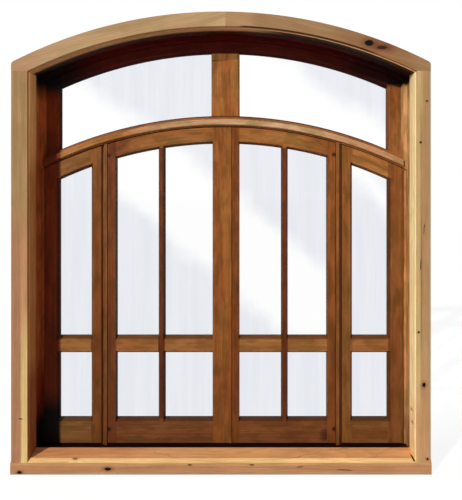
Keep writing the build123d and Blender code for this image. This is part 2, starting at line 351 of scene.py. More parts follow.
class BoardGrain(Effect):
    """Growth rings, fibres, slow patches and pores of a sawn board."""

    name = "board grain"
    inputs = (
        Port("Vector", "NodeSocketVector"),
        Port("Seed", default=0.0),
        Port("Ring Width", default=0.006),
        Port("Wander", default=0.5),
        Port("Bulge", default=0.0),
    )
    outputs = (Port("Rings"), Port("Fibres"), Port("Streaks"), Port("Patches"), Port("Pores"), Port("Mottle"))
    seed_step = 3.7
    pith_swing = 0.05
    pith_side = 0.035
    pith_depth = 0.05
    flatness = 0.05
    wander_reach = 0.06
    ripple_reach = 0.55
    ring_sharpness = 2.6
    ring_end = (0.9, 1.0)
    drift_stretch = (1.6, 7.0, 7.0)
    ripple_stretch = (9.0, 160.0, 160.0)
    fibre_stretch = (14.0, 620.0, 620.0)
    streak_stretch = (3.0, 130.0, 130.0)
    patch_stretch = (2.6, 24.0, 24.0)
    mottle_stretch = (11.0, 34.0, 34.0)
    pore_stretch = (55.0, 1500.0, 1500.0)
    streak_cut = (0.35, 0.65)
    patch_cut = (0.36, 0.66)
    pore_cut = (0.62, 0.72)
    mottle_cut = (0.4, 0.62)

    def rings(self, graph: Graph, given: dict[str, Socket], place: Socket) -> Socket:
        """Growth rings, as shells round a pith that wanders along the board.

        Args:
            graph: the group's own graph.
            given: its inputs by name.
            place: the place on the board, moved along it by the seed.

        Returns:
            A value that rises slowly through a ring and drops at its end.
        """
        _, across, through = graph.split(given["Vector"])
        seed = given["Seed"]
        drift = graph.less(graph.drawn_noise(place, self.drift_stretch, 1.5), 0.5)
        pith = graph.plus(graph.times(graph.math("SINE", seed), self.pith_swing), self.pith_side)
        depth = graph.plus(through, graph.plus(self.pith_depth, graph.math("COSINE", seed)))
        reach = graph.join(graph.less(across, pith), graph.times(depth, self.flatness), 0.0)
        bend = graph.times(drift, graph.times(given["Wander"], self.wander_reach))
        count = graph.math("DIVIDE", graph.plus(graph.vector("LENGTH", reach), bend), given["Ring Width"])
        ripple = graph.times(graph.drawn_noise(place, self.ripple_stretch), self.ripple_reach)
        phase = graph.math("FRACT", graph.plus(graph.plus(count, given["Bulge"]), ripple))
        late_end = graph.fade(phase, *self.ring_end, 1.0, 0.0)
        return graph.times(graph.math("POWER", phase, self.ring_sharpness), late_end)

    def build(self, graph: Graph, given: dict[str, Socket]) -> dict[str, Socket]:
        """Noise drawn out along the board, each kind with its own cut; see Effect.build."""
        along, across, through = graph.split(given["Vector"])
        seed = given["Seed"]
        place = graph.join(graph.plus(along, graph.times(seed, self.seed_step)), across, through)
        moved = graph.vector("ADD", place, graph.join(seed, 0.0, seed))
        streaks = graph.drawn_noise(place, self.streak_stretch)
        patches = graph.drawn_noise(moved, self.patch_stretch, 2.5, 0.55)
        mottle = graph.drawn_noise(moved, self.mottle_stretch, 2.0, 0.6)
        dashes = graph.drawn_noise(place, self.pore_stretch, 1.0)
        return {
            "Rings": self.rings(graph, given, place),
            "Fibres": graph.drawn_noise(place, self.fibre_stretch, 3.0, 0.6),
            "Streaks": graph.fade(streaks, *self.streak_cut),
            "Patches": graph.fade(patches, *self.patch_cut),
            "Pores": graph.fade(dashes, *self.pore_cut),
            "Mottle": graph.fade(mottle, *self.mottle_cut),
        }


class Knot(Effect):
    """A knot that goes through the board: its dark core, its rim and how far it bends the rings."""

    name = "knot"
    inputs = (
        Port("Vector", "NodeSocketVector"),
        Port("Centre", "NodeSocketVector"),
        Port("Size", "NodeSocketVector", (0.01, 1.0, 0.01)),
    )
    outputs = (Port("Core"), Port("Rim"), Port("Bulge"))
    ragged_scale = 170.0
    ragged_reach = 0.9
    core = (0.75, 1.15)
    rim = (0.9, 2.6)
    bulge = (0.0, 5.0)

    def build(self, graph: Graph, given: dict[str, Socket]) -> dict[str, Socket]:
        """The distance is measured in knot radii; see Effect.build."""
        offset = graph.vector("SUBTRACT", given["Vector"], given["Centre"])
        flat = graph.vector("DIVIDE", offset, given["Size"])
        ragged = graph.swing(graph.noise(given["Vector"], self.ragged_scale, 3.0), self.ragged_reach)
        reach = graph.plus(graph.vector("LENGTH", flat), ragged)
        rings = {"Core": self.core, "Rim": self.rim, "Bulge": self.bulge}
        return {name: graph.fade(reach, *limits, 1.0, 0.0) for name, limits in rings.items()}


class DryingCrack(Effect):
    """A thin dark split that follows the fibres."""

    name = "drying crack"
    inputs = (
        Port("Vector", "NodeSocketVector"),
        Port("Centre", "NodeSocketVector"),
        Port("Along", "NodeSocketVector", (1.0, 0.0, 0.0)),
        Port("Across", "NodeSocketVector", (0.0, 0.0, 1.0)),
        Port("Half Length", default=0.02),
        Port("Half Width", default=0.001),
    )
    outputs = (Port("Mask"),)
    wander_scale = 55.0
    wander_reach = 0.005
    taper = (0.35, 1.0)
    soft = 0.0004

    def build(self, graph: Graph, given: dict[str, Socket]) -> dict[str, Socket]:
        """The split tapers to both ends and wanders a little; see Effect.build."""
        offset = graph.vector("SUBTRACT", given["Vector"], given["Centre"])
        run = graph.math("ABSOLUTE", graph.vector("DOT_PRODUCT", offset, given["Along"]))
        side = graph.vector("DOT_PRODUCT", offset, given["Across"])
        wander = graph.swing(graph.noise(given["Vector"], self.wander_scale), self.wander_reach)
        side = graph.math("ABSOLUTE", graph.plus(side, wander))
        taper = graph.fade(graph.math("DIVIDE", run, given["Half Length"]), *self.taper, 1.0, 0.0)
        edge = graph.less(graph.times(taper, given["Half Width"]), side)
        return {"Mask": graph.fade(edge, -self.soft, self.soft)}


class Grime(Effect):
    """Uneven dirt and handling marks, in soft blots and small specks."""

    name = "grime"
    inputs = (Port("Vector", "NodeSocketVector"), Port("Seed", default=0.0))
    outputs = (Port("Blots"), Port("Specks"))
    blot_scale = 9.0
    speck_scale = 240.0
    blot_cut = (0.48, 0.72)
    speck_cut = (0.72, 0.78)

    def build(self, graph: Graph, given: dict[str, Socket]) -> dict[str, Socket]:
        """Two scales of noise, cut to what stands out; see Effect.build."""
        moved = graph.vector("ADD", given["Vector"], graph.join(given["Seed"], 0.0, given["Seed"]))
        blots = graph.noise(moved, self.blot_scale, 4.0, 0.6)
        specks = graph.noise(moved, self.speck_scale, 1.0)
        return {"Blots": graph.fade(blots, *self.blot_cut), "Specks": graph.fade(specks, *self.speck_cut)}


class Band(Effect):
    """How far a point lies inside a range, with limits that wander a little."""

    name = "band"
    inputs = (
        Port("Value"),
        Port("Wander"),
        Port("Low"),
        Port("High", default=1.0),
        Port("Fade", default=0.01),
    )
    outputs = (Port("Inside"),)

    def build(self, graph: Graph, given: dict[str, Socket]) -> dict[str, Socket]:
        """A smooth step up at the low limit and one down at the high one; see Effect.build."""
        value = graph.plus(given["Value"], given["Wander"])
        low, high, soft = given["Low"], given["High"], given["Fade"]
        rise = graph.fade(value, graph.less(low, soft), graph.plus(low, soft))
        fall = graph.fade(value, graph.less(high, soft), graph.plus(high, soft), 1.0, 0.0)
        return {"Inside": graph.times(rise, fall)}


class Effects:
    """The node groups of this scene."""

    def __init__(self) -> None:
        """Build each group once."""
        self.grain = BoardGrain()
        self.knot = Knot()
        self.crack = DryingCrack()
        self.grime = Grime()
        self.band = Band()


class Run(Enum):
    """Which way the fibres of a member run, as an angle from level in degrees."""

    UPRIGHT = 90.0
    LEVEL = 0.0
    RISING = 14.0
    FALLING = -14.0
    BENT = None


@dataclass(frozen=True)
class Arch:
    """A circle that bent members follow: the height of its centre and its radius."""

    centre: float
    radius: float

    def height(self, x: float) -> float:
        """Height of the circle at a place in X."""
        return self.centre + math.sqrt(self.radius**2 - (x - OPENING_CENTRE) ** 2)

    def outward(self, graph: Graph, x: Source, z: Source) -> Socket:
        """Measure how far outward from the circle a point lies.

        Args:
            graph: the material's graph.
            x: the point's place in X.
            z: its place in Z.

        Returns:
            The distance, negative inside the circle.
        """
        aside = graph.less(x, OPENING_CENTRE)
        rise = graph.less(z, self.centre)
        return graph.less(graph.vector("LENGTH", graph.join(aside, rise, 0.0)), self.radius)


HEAD_ARCH = Arch(14 * MM, 1600 * MM)
TRANSOM_ARCH = Arch(-289 * MM, 1560 * MM)


@dataclass(frozen=True)
class KnotMark:
    """A knot, by its place in X and Z, half its width and height, its strength and its depth in Y."""

    place: Pair
    half_width: float
    half_height: float
    strength: float = 1.0
    y: float = 0.0
    half_depth: float = 1000.0


@dataclass(frozen=True)
class CrackMark:
    """A split, by its middle in X and Z, its slope in degrees, its half length and half width."""

    place: Pair
    slope: float
    half_length: float
    half_width: float = 0.0012


@dataclass(frozen=True)
class Zone:
    """A stretch of a board with a colour of its own: limits in X, Y and Z as (low, high, fade).

    With a turn in degrees, X and Z count from the pivot along turned axes. With an arch, Z counts
    outward from its circle.
    """

    colour: Colour
    share: float = 1.0
    x: Limits | None = None
    y: Limits | None = None
    z: Limits | None = None
    ragged: float = 0.0
    turn: float = 0.0
    pivot: Pair = (0.0, 0.0)
    arch: Arch | None = None
    ragged_scale: float = 14.0

    def axes(self, graph: Graph, place: Socket) -> tuple[Socket, Socket, Socket]:
        """Read the three values that the limits are compared with.

        Args:
            graph: the material's graph.
            place: object coordinates.

        Returns:
            The values for the limits in X, Y and Z.
        """
        x, y, z = graph.split(place)
        if self.arch:
            return x, y, self.arch.outward(graph, x, z)
        if self.turn:
            turn = math.radians(self.turn)
            offset = graph.vector("SUBTRACT", place, (self.pivot[0], 0.0, self.pivot[1]))
            x = graph.vector("DOT_PRODUCT", offset, (math.cos(turn), 0.0, math.sin(turn)))
            z = graph.vector("DOT_PRODUCT", offset, (-math.sin(turn), 0.0, math.cos(turn)))
        return x, y, z

    def mask(self, graph: Graph, effects: Effects, place: Socket) -> Source:
        """How much of this colour a point takes.

        Args:
            graph: the material's graph.
            effects: the shared node groups.
            place: object coordinates.

        Returns:
            A share from 0 to 1.
        """
        inside: Source = self.share
        wander: Source = 0.0
        if self.ragged:
            wander = graph.swing(graph.noise(place, self.ragged_scale, 3.0, 0.6), self.ragged)
        for value, limits in zip(self.axes(graph, place), (self.x, self.y, self.z)):
            if limits:
                low, high, soft = limits
                band = effects.band.place(graph, Value=value, Wander=wander, Low=low, High=high, Fade=soft)
                inside = graph.times(inside, band.outputs["Inside"])
        return inside


@dataclass(frozen=True)
class Board:
    """One wooden member: its colour in full light, its grain and everything special about it."""

    node: str
    colour: Colour
    run: Run
    seed: float
    arch: Arch | None = None
    zones: tuple[Zone, ...] = ()
    knots: tuple[KnotMark, ...] = ()
    cracks: tuple[CrackMark, ...] = ()

    def place(self, graph: Graph, place: Socket) -> Socket:
        """Turn a place on the window into one on the board: along, across and through it.

        Args:
            graph: the material's graph.
            place: object coordinates.

        Returns:
            The place as a vector.
        """
        if self.arch:
            x, y, z = graph.split(place)
            aside = graph.less(x, OPENING_CENTRE)
            angle = graph.math("ARCTAN2", aside, graph.less(z, self.arch.centre))
            along = graph.times(angle, self.arch.radius)
            return graph.join(along, self.arch.outward(graph, x, z), y)
        turn = math.radians(self.run.value or 0.0)
        along = graph.vector("DOT_PRODUCT", place, (math.cos(turn), 0.0, math.sin(turn)))
        across = graph.vector("DOT_PRODUCT", place, (-math.sin(turn), 0.0, math.cos(turn)))
        return graph.join(along, across, graph.split(place)[1])


@dataclass(frozen=True)
class WoodFinish:
    """How a kind of board looks: ring width, contrast, sheen, relief, grime and darkening in recesses and
    towards the foot.
    """

    name: str
    ring_width: float
    wander: float
    early: Colour
    patch: Colour
    late: Colour
    ring_share: float
    fibre_share: float
    streak_share: float
    pore_share: float
    mottle: Colour
    mottle_share: float
    roughness: float
    specular: float
    relief: float
    blot_share: float
    hollow: Colour = srgb(16, 6, 3)
    recess: Pair | None = None
    recess_share: float = 0.0
    foot: Pair = (0.0, 1.0)
    foot_share: float = 0.0
    ring_push: float = 2.4
    rim_share: float = 0.7
    speck_share: float = 0.5
    ring_height: float = 0.5
    fibre_height: float = 0.6
    gap_depth: float = 3.0
    bump_strength: float = 0.6
    fibre_cut: Pair = (0.3, 0.7)
    gloss_cut: Pair = (0.25, 0.75)
    gloss_spread: Pair = (0.08, -0.05)
    sunk_tint: Colour = (0.3, 0.22, 0.16)
    foot_tint: Colour = (0.55, 0.5, 0.5)

    def material(self, effects: Effects, board: Board) -> bpy.types.Material:
        """Make the material of one member.

        Args:
            effects: the shared node groups.
            board: the member.

        Returns:
            The material.
        """
        material = bpy.data.materials.new(f"{self.name} {board.node}".replace("_", " "))
        graph = cleared(material)
        place = graph.place()
        bulge, gaps, rims = self.marks(graph, effects, board, place)
        grain = effects.grain.place(
            graph,
            Vector=board.place(graph, place),
            Seed=board.seed,
            Ring_Width=self.ring_width,
            Wander=self.wander,
            Bulge=bulge,
        ).outputs

        colour = self.clean_colour(graph, effects, board, place, grain)
        grime = effects.grime.place(graph, Vector=place, Seed=board.seed).outputs
        shade = graph.mix(1.0, colour, self.late, "MULTIPLY")
        for share in [graph.times(grime["Blots"], self.blot_share)] + rims:
            colour = graph.mix(share, colour, shade)
        colour = graph.mix(graph.times(grime["Specks"], self.speck_share), colour, shade)
        for gap in gaps:
            colour = graph.mix(gap, colour, self.hollow)

        height = graph.times(grain["Rings"], self.ring_height)
        height = graph.plus(height, graph.times(grain["Fibres"], self.fibre_height))
        for gap in gaps:
            height = graph.less(height, graph.times(gap, self.gap_depth))
        relief = {"Height": height, "Distance": self.relief, "Strength": self.bump_strength}
        rough, smooth = (self.roughness + spread for spread in self.gloss_spread)
        surface = {
            "Base Color": colour,
            "Roughness": graph.fade(grain["Fibres"], *self.gloss_cut, rough, smooth),
            "Specular IOR Level": self.specular,
            "Normal": graph.node("ShaderNodeBump", relief).outputs["Normal"],
        }
        graph.surface(surface)
        return material

    def marks(
        self, graph: Graph, effects: Effects, board: Board, place: Socket
    ) -> tuple[Source, list[Socket], list[Socket]]:
        """Knots and cracks of a board.

        Args:
            graph: the material's graph.
            effects: the shared node groups.
            board: the member.
            place: object coordinates.

        Returns:
            How far rings are pushed aside, the masks of what is hollow, and the masks of rims.
        """
        bulge: Source = 0.0
        gaps: list[Socket] = []
        rims: list[Socket] = []
        for mark in board.knots:
            size = (mark.half_width, mark.half_depth, mark.half_height)
            centre = (mark.place[0], mark.y, mark.place[1])
            knot = effects.knot.place(graph, Vector=place, Centre=centre, Size=size).outputs
            bulge = graph.plus(bulge, graph.times(knot["Bulge"], self.ring_push * mark.strength))
            gaps.append(graph.times(knot["Core"], mark.strength))
            rims.append(graph.times(knot["Rim"], self.rim_share * mark.strength))
        for mark in board.cracks:
            turn = math.radians(mark.slope)
            crack = effects.crack.place(
                graph,
                Vector=place,
                Centre=(mark.place[0], 0.0, mark.place[1]),
                Along=(math.cos(turn), 0.0, math.sin(turn)),
                Across=(-math.sin(turn), 0.0, math.cos(turn)),
                Half_Length=mark.half_length,
                Half_Width=mark.half_width,
            )
            gaps.append(crack.outputs["Mask"])
        return bulge, gaps, rims

    def clean_colour(
        self, graph: Graph, effects: Effects, board: Board, place: Socket, grain: Outputs
    ) -> Socket:
        """Colour of the clean wood: the board's own hue and zones, worked by its grain.

        Args:
            graph: the material's graph.
            effects: the shared node groups.
            board: the member.
            place: object coordinates.
            grain: outputs of the board grain group.

        Returns:
            The colour socket.
        """
        hue: Source = board.colour
        for zone in board.zones:
            hue = graph.mix(zone.mask(graph, effects, place), hue, zone.colour)
        worked = graph.mix(grain["Patches"], self.early, self.patch)
        shares = (
            graph.times(grain["Streaks"], self.streak_share),
            graph.times(grain["Rings"], self.ring_share),
            graph.fade(grain["Fibres"], *self.fibre_cut, self.fibre_share, 0.0),
            graph.times(grain["Pores"], self.pore_share),
        )
        for share in shares:
            worked = graph.mix(share, worked, self.late)
        cloudy = graph.mix(1.0, worked, self.mottle, "MULTIPLY")
        worked = graph.mix(graph.times(grain["Mottle"], self.mottle_share), worked, cloudy)
        _, y, z = graph.split(place)
        if self.recess:
            sunk = graph.fade(y, *self.recess, 0.0, self.recess_share)
            worked = graph.mix(sunk, worked, tinted(self.late, self.sunk_tint))
        # Darker towards the bottom.
        if self.foot_share:
            lower_share = graph.fade(z, *self.foot, self.foot_share, 0.0)
            worked = graph.mix(lower_share, worked, tinted(self.late, self.foot_tint))
        return graph.mix(1.0, hue, worked, "MULTIPLY")


@dataclass(frozen=True)
class Sheen:
    """A slanting white reflection: a place on its upper edge, its slope down to the right, its width."""

    place: Pair
    slope: float
    width: float
    fade: float = 0.055
    foot: float = -FAR


@dataclass(frozen=True)
class GlassFinish:
    """Window glass with a cool tint, left white where the sky is mirrored in slanting bands."""

    clear: Colour = (1.0, 1.0, 1.0)
    tint: Colour = srgb(236, 238, 243)
    streak: Colour = srgb(231, 234, 240)
    roughness: float = 0.02
    index: float = 1.45
    drift_scale: float = 6.0
    drift: float = 0.12
    streak_stretch: Stretch = (26.0, 1.0, 1.5)
    streak_cut: Pair = (0.35, 0.65)

    def material(self, effects: Effects, name: str, sheens: tuple[Sheen, ...]) -> bpy.types.Material:
        """Make the glass of one unit.

        Args:
            effects: the shared node groups.
            name: the unit.
            sheens: its white bands.

        Returns:
            The material.
        """
        material = bpy.data.materials.new(f"window glass {name}".replace("_", " "))
        graph = cleared(material)
        place = graph.place()
        _, _, z = graph.split(place)
        wander = graph.swing(graph.noise(place, self.drift_scale, 3.0, 0.6), self.drift)
        streaks = graph.drawn_noise(place, self.streak_stretch, 3.0, 0.6)
        colour: Source = graph.mix(graph.fade(streaks, *self.streak_cut), self.tint, self.streak)
        for sheen in sheens:
            turn = math.radians(sheen.slope)
            offset = graph.vector("SUBTRACT", place, (sheen.place[0], 0.0, sheen.place[1]))
            value = graph.vector("DOT_PRODUCT", offset, (math.sin(turn), 0.0, math.cos(turn)))
            limits = {"Low": -sheen.width, "High": 0.0, "Fade": sheen.fade}
            band = effects.band.place(graph, Value=value, Wander=wander, **limits).outputs["Inside"]
            above = graph.fade(z, sheen.foot - sheen.fade, sheen.foot + sheen.fade)
            colour = graph.mix(graph.times(band, above), colour, self.clear)
        surface = {
            "Base Color": colour,
            "Roughness": self.roughness,
            "IOR": self.index,
            "Transmission Weight": 1.0,
        }
        graph.surface(surface)
        return material


@dataclass(frozen=True)
class PlainFinish:
    """A small part's finish: one hue, broken up by noise."""

    name: str
    base: Colour
    worn: Colour
    roughness: float
    metallic: float = 0.0
    scale: float = 120.0
    relief: float = 0.0005
    bump_strength: float = 0.4
    uneven: float = 0.1
    worn_cut: Pair = (0.4, 0.65)
    gloss_cut: Pair = (0.3, 0.7)

    def material(self) -> bpy.types.Material:
        """Make the material.

        Returns:
            The material.
        """
        material = bpy.data.materials.new(self.name)
        graph = cleared(material)
        grit = graph.noise(graph.place(), self.scale, 3.0)
        relief = {"Height": grit, "Distance": self.relief, "Strength": self.bump_strength}
        smooth, rough = self.roughness - self.uneven, self.roughness + self.uneven
        surface = {
            "Base Color": graph.mix(graph.fade(grit, *self.worn_cut), self.base, self.worn),
            "Metallic": self.metallic,
            "Roughness": graph.fade(grit, *self.gloss_cut, smooth, rough),
            "Normal": graph.node("ShaderNodeBump", relief).outputs["Normal"],
        }
        graph.surface(surface)
        return material


RAW_PINE = WoodFinish(
    name="raw pine",
    ring_width=0.0075,
    wander=1.0,
    early=(1.06, 1.06, 1.06),
    patch=(0.92, 0.88, 0.86),
    late=(0.6, 0.49, 0.42),
    ring_share=0.42,
    fibre_share=0.25,
    streak_share=0.18,
    pore_share=0.1,
    mottle=(0.86, 0.93, 0.84),
    mottle_share=0.6,
    roughness=0.62,
    specular=0.08,
    relief=0.0006,
    blot_share=0.15,
)
# Painted light: a paler copy of the raw pine for the right liner, which faces the lamp.
LIT_PINE = replace(RAW_PINE, early=(1.18, 1.18, 1.18), patch=(1.04, 1.0, 0.97))
STAINED_FRAME = WoodFinish(
    name="brown stain",
    ring_width=0.0065,
    wander=0.9,
    early=(1.3, 1.32, 1.18),
    patch=(1.14, 0.88, 0.7),
    late=(0.48, 0.37, 0.26),
    ring_share=0.4,
    fibre_share=0.35,
    streak_share=0.3,
    pore_share=0.3,
    mottle=(0.62, 0.66, 0.48),
    mottle_share=0.85,
    roughness=0.5,
    specular=0.12,
    relief=0.0004,
    blot_share=0.3,
)
STAINED_SASH = replace(
    STAINED_FRAME,
    recess=(FRONT + SASH_DEPTH + 1.2 * MM, FRONT + SASH_DEPTH + 6 * MM),
    recess_share=0.72,
    foot=(0.1, 1.05),
    foot_share=0.42,
)
STAINED_POST = replace(STAINED_SASH, recess=None)
STAINED_FAN = replace(
    STAINED_FRAME,
    recess=(FRONT + FAN_DEPTH + 1 * MM, FRONT + FAN_DEPTH + 5 * MM),
    recess_share=0.55,
)


def dress(node: str, material: bpy.types.Material) -> None:
    """Give a CAD node one material in all its slots.

    Args:
        node: the node's name.
        material: its finish.
    """
    thing = NODES[node]
    if not thing.material_slots:
        thing.data.materials.append(material)
    for slot in thing.material_slots:
        slot.material = material


def add_piece(bm: bmesh.types.BMesh, name: str, material: bpy.types.Material) -> bpy.types.Object:
    """Turn a bmesh into a piece of the window.

    Args:
        bm: the finished mesh, freed here.
        name: the piece's name.
        material: its finish.

    Returns:
        The new object.
    """
    bmesh.ops.remove_doubles(bm, verts=bm.verts, dist=MERGE_GAP)
    bmesh.ops.recalc_face_normals(bm, faces=bm.faces)
    mesh = bpy.data.meshes.new(name)
    bm.to_mesh(mesh)
    bm.free()
    mesh.materials.append(material)
    piece = bpy.data.objects.new(name, mesh)
    show(piece)
    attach(piece, BODY)
    return piece


@dataclass
class Casing:
    """The raw pine surround: sill, jambs, curved head in two pieces, and the liner boards."""

    effects: Effects
    bevel_depth: float = 12 * MM
    sill_front_height: float = 42 * MM
    head_edge: Arch = Arch(14 * MM, 1588 * MM)

    def jambs(self) -> tuple[Board, ...]:
        """Describe the two upright boards.

        Returns:
            The left and the right jamb.
        """
        v = VIEW
        left = Board(
            "casing_jamb_left",
            srgb(173, 127, 94),
            Run.UPRIGHT,
            seed=2.1,
            zones=(
                Zone(srgb(172, 139, 97), 0.9, z=beyond(v.row(222), 0.1), ragged=0.05),
                Zone(
                    srgb(196, 146, 107),
                    0.7,
                    x=beyond(v.column(20), 0.004),
                    z=up_to(v.row(240), 0.1),
                    ragged=0.008,
                ),
                Zone(
                    srgb(229, 197, 137),
                    0.95,
                    x=beyond(v.column(21.2), 0.004),
                    z=up_to(v.row(330), 0.16),
                    ragged=0.006,
                ),
            ),
            cracks=(CrackMark(v.spot(column=20.5, row=419), -4, 2.6 * v.span(), 0.0016),),
        )
        right = Board(
            "casing_jamb_right",
            srgb(184, 145, 105),
            Run.UPRIGHT,
            seed=5.2,
            zones=(
                Zone(srgb(201, 168, 121), 0.8, x=up_to(v.column(423), 0.006), z=beyond(v.row(120), 0.06)),
                Zone(srgb(208, 178, 126), 0.85, x=up_to(v.column(420.5), 0.004), ragged=0.006),
                Zone(srgb(196, 150, 107), 0.7, z=up_to(v.row(402), 0.04)),
                Zone(
                    srgb(158, 112, 78),
                    0.7,
                    x=(v.column(420.8), v.column(422.4), 0.0015),
                    z=(v.row(345), v.row(215), 0.06),
                ),
            ),
            knots=(
                KnotMark(v.spot(column=427, row=101), 0.0032, 0.0032),
                KnotMark(v.spot(column=420.7, row=142.3), 0.0036, 0.0032),
                KnotMark(v.spot(column=418.7, row=332.3), 0.0034, 0.0036),
                KnotMark(v.spot(column=424, row=385), 0.0068, 0.0085),
                KnotMark(v.spot(column=427.5, row=459), 0.0042, 0.0042),
            ),
            cracks=(
                CrackMark(v.spot(column=421, row=264.5), 90, 7.5 * v.span(), 0.0014),
                CrackMark(v.spot(column=424.3, row=229), 84, 7 * v.span(), 0.0011),
            ),
        )
        return (left, right)

    def head(self) -> tuple[Board, ...]:
        """Describe the two halves of the curved head.

        Returns:
            The left and the right half.
        """
        v = VIEW
        left = Board(
            "casing_head_left",
            srgb(187, 153, 113),
            Run.RISING,
            seed=3.4,
            zones=(
                Zone(srgb(187, 155, 117), 0.8, x=up_to(v.column(85), 0.05), ragged=0.05),
                Zone(srgb(186, 145, 110), 0.8, x=up_to(v.column(35), 0.03)),
                Zone(
                    srgb(208, 176, 132),
                    0.8,
                    x=beyond(-0.04, 0.016),
                    z=up_to(0.0, 0.0025),
                    turn=21.0,
                    pivot=v.spot(column=215, row=21),
                ),
            ),
        )
        right = Board(
            "casing_head_right",
            srgb(162, 127, 90),
            Run.FALLING,
            seed=4.6,
            zones=(
                Zone(srgb(186, 146, 108), 0.8, x=up_to(v.column(252), 0.03)),
                Zone(srgb(150, 111, 76), 0.85, x=(v.column(338), v.column(412), 0.04), ragged=0.04),
                # painted shadow: a dark line along the inner edge of the right half and on its inner face
                Zone(
                    srgb(44, 20, 9),
                    0.9,
                    x=(v.column(240), v.column(376), 0.02),
                    z=up_to(0.0032, 0.0008),
                    arch=self.head_edge,
                ),
                Zone(
                    srgb(132, 78, 58),
                    0.7,
                    x=(v.column(370), v.column(394), 0.02),
                    z=(v.row(54), v.row(41), 0.014),
                    ragged=0.05,
                ),
            ),
            knots=(
                KnotMark(v.spot(column=369, row=43), 0.0165, 0.011),
                KnotMark(v.spot(column=382, row=47.5), 0.019, 0.0065, 0.8),
            ),
        )
        return (left, right)

    def sill(self) -> Board:
        """Describe the sill, with a painted highlight along its bevel and painted shade at its back.

        Returns:
            The sill.
        """
        v = VIEW
        back_of_bevel = FRONT + self.bevel_depth
        bevel_spot = (v.column(74.5), self.sill_front_height + 0.01)
        return Board(
            "casing_sill",
            srgb(188, 139, 99),
            Run.LEVEL,
            seed=1.3,
            zones=(
                Zone(srgb(184, 147, 110), 0.8, z=up_to(0.012, 0.005), ragged=0.008),
                Zone(srgb(202, 154, 108), 0.8, z=beyond(0.034, 0.004), ragged=0.006),
                Zone(srgb(236, 171, 115), y=beyond(back_of_bevel, 0.001)),
                Zone(
                    srgb(236, 160, 108),
                    0.8,
                    x=up_to(v.column(135), 0.08),
                    y=beyond(FRONT + 0.03, 0.02),
                    ragged=0.05,
                ),
                # painted shade along the back of the sill top, under the sashes
                Zone(srgb(128, 84, 56), 0.9, y=beyond(FRONT + 0.1, 0.02)),
                # painted highlight along the bevel
                Zone(
                    srgb(246, 202, 140),
                    1.0,
                    y=up_to(back_of_bevel + 0.002, 0.001),
                    z=beyond(self.sill_front_height + 0.0005, 0.001),
                ),
            ),
            knots=(
                KnotMark(v.spot(column=108, row=469), 0.013, 0.006),
                KnotMark(v.spot(column=19.5, row=472.5), 0.009, 0.0052),
                KnotMark(bevel_spot, 0.009, 0.008, 0.7, back_of_bevel, 0.0035),
            ),
            cracks=(
                CrackMark(v.spot(column=344.5, row=470), -1.5, 10 * v.span(), 0.0014),
                CrackMark(v.spot(column=190, row=465), 3, 3 * v.span(), 0.0018),
                CrackMark(v.spot(column=252, row=465), -4, 3 * v.span(), 0.0018),
                CrackMark(v.spot(column=300, row=467), 6, 4 * v.span(), 0.0014),
                CrackMark(v.spot(column=411.3, row=455.5, depth=0.04), -55, 2.7 * v.span(), 0.0026),
            ),
        )

    def liners(self) -> tuple[Board, ...]:
        """Describe the boards inside the casing.

        Returns:
            The left, the right and the curved liner.
        """
        v = VIEW
        left = Board(
            "liner_left",
            srgb(208, 138, 79),
            Run.UPRIGHT,
            seed=6.1,
            zones=(
                Zone(srgb(250, 184, 116), 0.9, z=beyond(v.row(165), 0.08)),
                Zone(srgb(160, 88, 46), 0.9, z=up_to(v.row(372), 0.07)),
                # painted shade in the back part of the left liner
                Zone(srgb(158, 76, 44), 0.85, y=beyond(FRONT + 0.08, 0.02)),
            ),
        )
        # painted light: the right liner is pale as the lit side of the opening
        right = Board(
            "liner_right",
            srgb(250, 226, 172),
            Run.UPRIGHT,
            seed=7.7,
            zones=(Zone(srgb(246, 208, 150), 0.8, z=up_to(v.row(400, 0.04), 0.04)),),
            knots=(
                KnotMark(v.spot(column=411.5, row=409, depth=0.05), 0.02, 0.0042, 0.55, FRONT + 0.05, 0.012),
                KnotMark(v.spot(column=412, row=422, depth=0.04), 0.02, 0.0045, 0.6, FRONT + 0.04, 0.012),
            ),
        )
        head = Board(
            "liner_head",
            srgb(212, 156, 106),
            Run.LEVEL,
            seed=8.2,
            zones=(
                # Painted shade on the underside of the curved liner: its right half and its back part are
                # near black.
                Zone(srgb(44, 14, 7), 0.95, x=beyond(v.column(268), 0.07), y=beyond(FRONT + 0.009, 0.0006)),
                Zone(
                    srgb(34, 8, 4),
                    0.95,
                    y=beyond(FRONT + 0.045, 0.012),
                    z=up_to(0.0, 0.002),
                    arch=self.head_edge,
                ),
            ),
        )
        return (left, right, head)

    def dress(self) -> None:
        """Give each board its own piece of pine."""
        for board in (*self.jambs(), *self.head(), self.sill(), *self.liners()):
            finish = LIT_PINE if board.node == "liner_right" else RAW_PINE
            dress(board.node, finish.material(self.effects, board))
            log.info("casing: %s", board.node)


